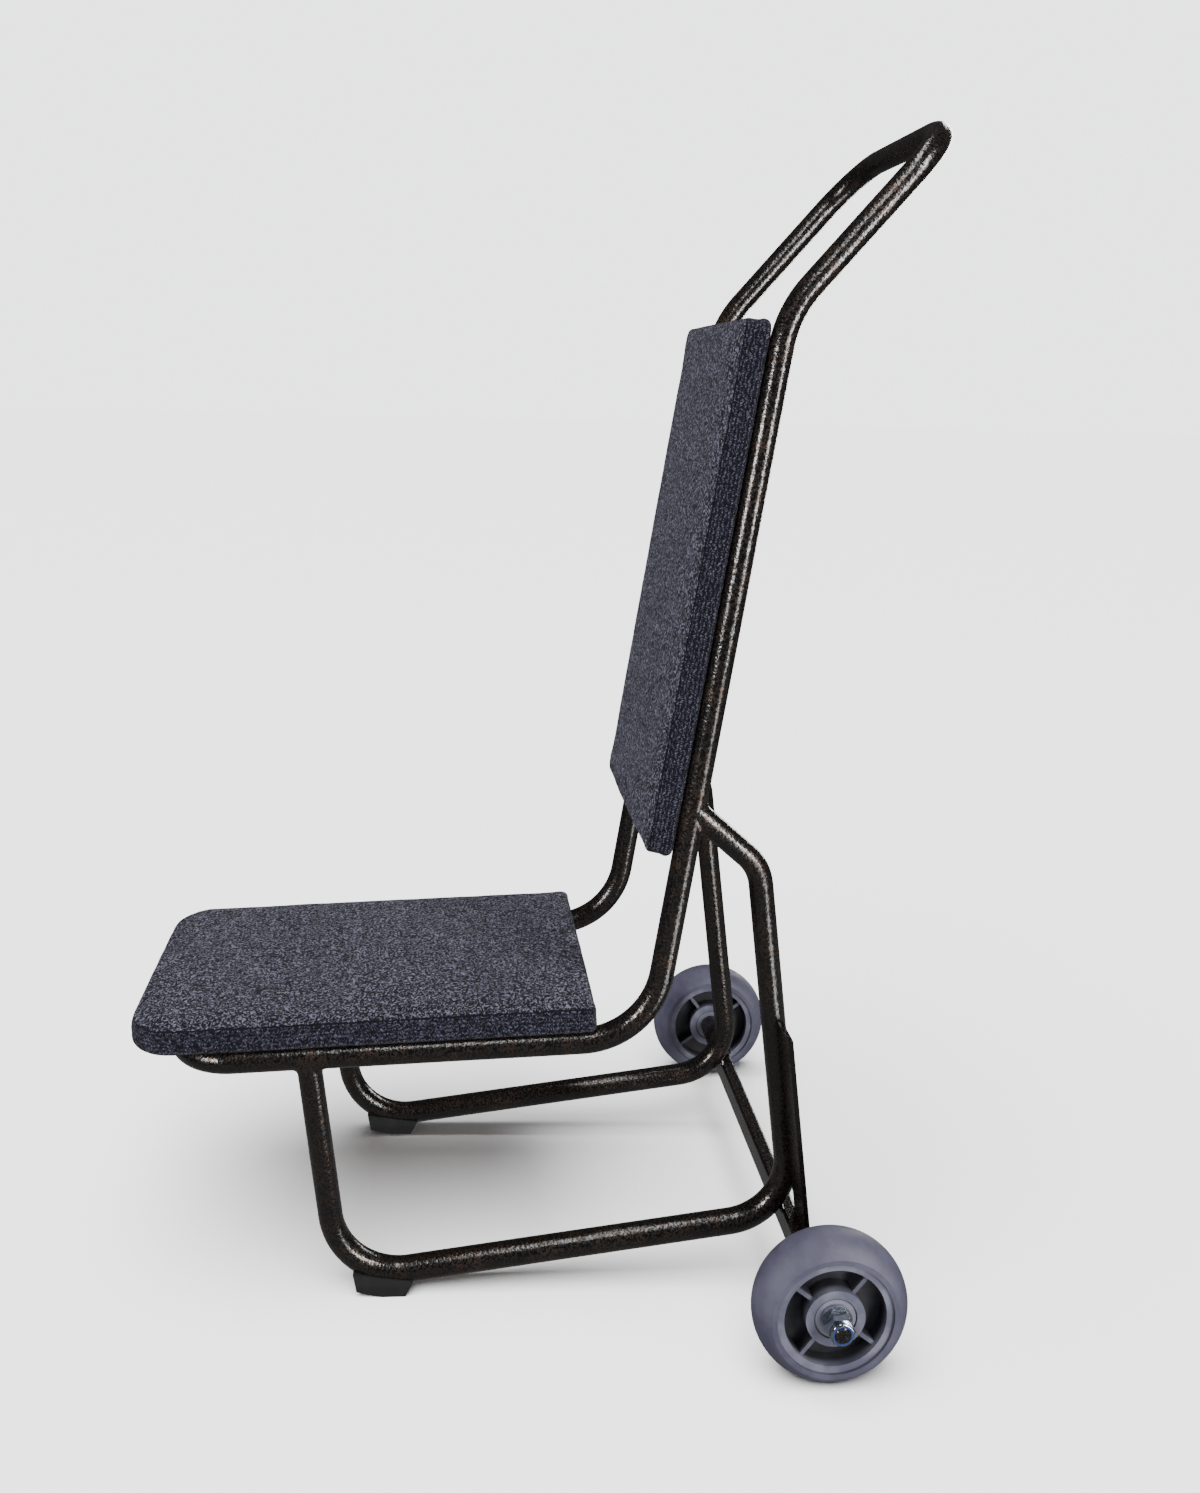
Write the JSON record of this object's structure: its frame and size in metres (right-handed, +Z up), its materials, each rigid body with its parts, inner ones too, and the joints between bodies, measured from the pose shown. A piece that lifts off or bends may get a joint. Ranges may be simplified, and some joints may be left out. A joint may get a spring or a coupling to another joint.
{
  "type": "chair trolley",
  "caption": "Tilting trolley for stacked chairs: bent tube frame with carpeted seat and back pads, hand loop, rubber feet and a pair of rear wheels.",
  "frame": {"origin": "on the floor, under the middle of the overall box", "axes": "+Z up, +X to the left of the person at the handle, -Y to the front of the seat"},
  "size_m": [0.6006, 0.8047, 1.2076],
  "materials": {
    "frame_paint": "black hammertone powder coat with fine bronze speckle, glossy",
    "carpet": "charcoal loop carpet with pale flecks",
    "plywood": "plain plywood",
    "tread": "matt blue-grey thermoplastic rubber",
    "wheel_core": "matt grey moulded plastic",
    "bush": "matt pale grey plastic",
    "zinc": "bright zinc plate",
    "nylon": "dark blue nylon",
    "foot_rubber": "matt black rubber"
  },
  "bodies": {
    "frame": {"axle_beam": "frame_paint", "back_board": "plywood", "back_pad": "carpet", "back_screws": "zinc", "back_straps": "frame_paint", "foot_screws": "zinc", "handle": "frame_paint", "left_axle_nut": "zinc", "left_axle_washer": "zinc", "left_base_frame": "frame_paint", "left_foot": "foot_rubber", "left_nut_insert": "nylon", "left_seat_rail": "frame_paint", "left_side_plate": "frame_paint", "left_stub_axle": "frame_paint", "left_upright": "frame_paint", "right_axle_nut": "zinc", "right_axle_washer": "zinc", "right_base_frame": "frame_paint", "right_foot": "foot_rubber", "right_nut_insert": "nylon", "right_seat_rail": "frame_paint", "right_side_plate": "frame_paint", "right_stub_axle": "frame_paint", "right_upright": "frame_paint", "seat_board": "plywood", "seat_front_bar": "frame_paint", "seat_pad": "carpet", "seat_screws": "zinc", "seat_straps": "frame_paint"},
    "left_wheel": {"left_wheel_core": "wheel_core", "left_wheel_tread": "tread", "left_wheel_bush": "bush"},
    "right_wheel": {"right_wheel_core": "wheel_core", "right_wheel_tread": "tread", "right_wheel_bush": "bush"}
  },
  "joints": [
    {"name": "left_wheel_spin", "type": "hinge", "parent": "frame", "child": "left_wheel", "pos_m": [0.259, 0.2894, 0.075], "axis": [1, 0, 0], "continuous": true},
    {"name": "right_wheel_spin", "type": "hinge", "parent": "frame", "child": "right_wheel", "pos_m": [-0.259, 0.2894, 0.075], "axis": [1, 0, 0], "continuous": true}
  ]
}
